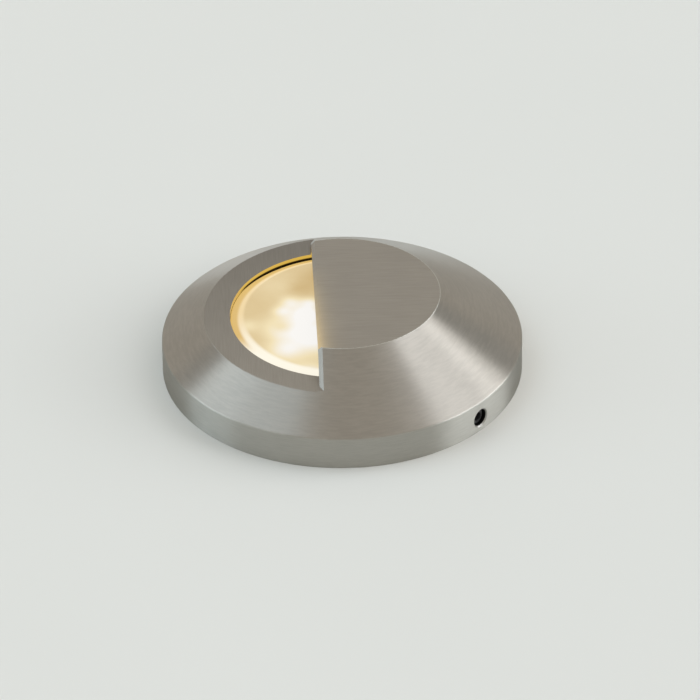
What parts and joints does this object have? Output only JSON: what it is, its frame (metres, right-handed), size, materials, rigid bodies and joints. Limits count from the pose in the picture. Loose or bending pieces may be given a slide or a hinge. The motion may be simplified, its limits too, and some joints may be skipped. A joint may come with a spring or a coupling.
{
  "type": "step light",
  "caption": "Round recessed step light with a bevelled metal cover whose hood throws the light one way, a stepped glass lens, a sealed lamp and driver, and a cable gland.",
  "frame": {"origin": "on the light's axis, in the plane of the surface that it is let into, which is the underside of the collar and of the cover's rim", "axes": "+Z out of the surface; the hood covers the +X side of the glass, so the light leaves towards -X"},
  "size_m": [0.08, 0.08, 0.093],
  "materials": {
    "cover_steel": "brushed stainless steel",
    "screw_black": "black oxide steel",
    "lens_glass": "clear toughened glass, ground underside",
    "seal_rubber": "black silicone",
    "ring_black": "black anodised",
    "fastener_steel": "stainless steel",
    "housing_anodised": "grey anodised, turned",
    "heat_sink_bare": "bare turned aluminium",
    "film_opal": "opal film",
    "pad_grey": "thermal silicone",
    "board_white": "white solder mask",
    "emitter_phosphor": "silicone phosphor in a white body",
    "reflector_white": "white moulded plastic",
    "lead_red": "silicone insulation",
    "lead_black": "silicone insulation",
    "brass": "turned brass",
    "board_green": "green solder mask",
    "can_black": "shrink sleeve",
    "ferrite": "sintered ferrite",
    "copper_winding": "enamelled copper",
    "chip_black": "moulded epoxy",
    "terminal_green": "moulded plastic"
  },
  "bodies": {
    "housing": {"lens": "lens_glass", "lens_gasket": "seal_rubber", "clamp_ring": "ring_black", "clamp_ring_screws": "fastener_steel", "diffuser": "film_opal", "housing": "housing_anodised", "heat_sink": "heat_sink_bare", "grip_rings": "seal_rubber", "thermal_pad": "pad_grey", "led_board": "board_white", "led_board_screws": "fastener_steel", "led_emitters": "emitter_phosphor", "reflector": "reflector_white", "led_lead_positive": "lead_red", "led_lead_negative": "lead_black", "driver_standoffs": "brass", "driver_board": "board_green", "driver_board_screws": "fastener_steel", "filter_capacitor": "can_black", "inductor_core": "ferrite", "inductor_winding": "copper_winding", "bridge_rectifier": "chip_black", "driver_chip": "chip_black", "terminal_block": "terminal_green", "terminal_screws": "fastener_steel", "base_cap": "housing_anodised", "base_cap_o_ring": "seal_rubber", "gland_seal": "seal_rubber", "gland_washer": "brass", "gland_nut": "brass"},
    "cover": {"cover": "cover_steel"},
    "set_screw_front": {"cover_set_screw_front": "screw_black"},
    "set_screw_rear": {"cover_set_screw_rear": "screw_black"}
  },
  "joints": [
    {"name": "cover_aim", "type": "hinge", "parent": "housing", "child": "cover", "pos_m": [0, 0, 0], "axis": [0, 0, 1], "continuous": true},
    {"name": "set_screw_front_travel", "type": "slide", "parent": "cover", "child": "set_screw_front", "axis": [0.7314, -0.682, 0], "range_m": [0, 0.003]},
    {"name": "set_screw_rear_travel", "type": "slide", "parent": "cover", "child": "set_screw_rear", "axis": [-0.7314, 0.682, 0], "range_m": [0, 0.003]}
  ]
}
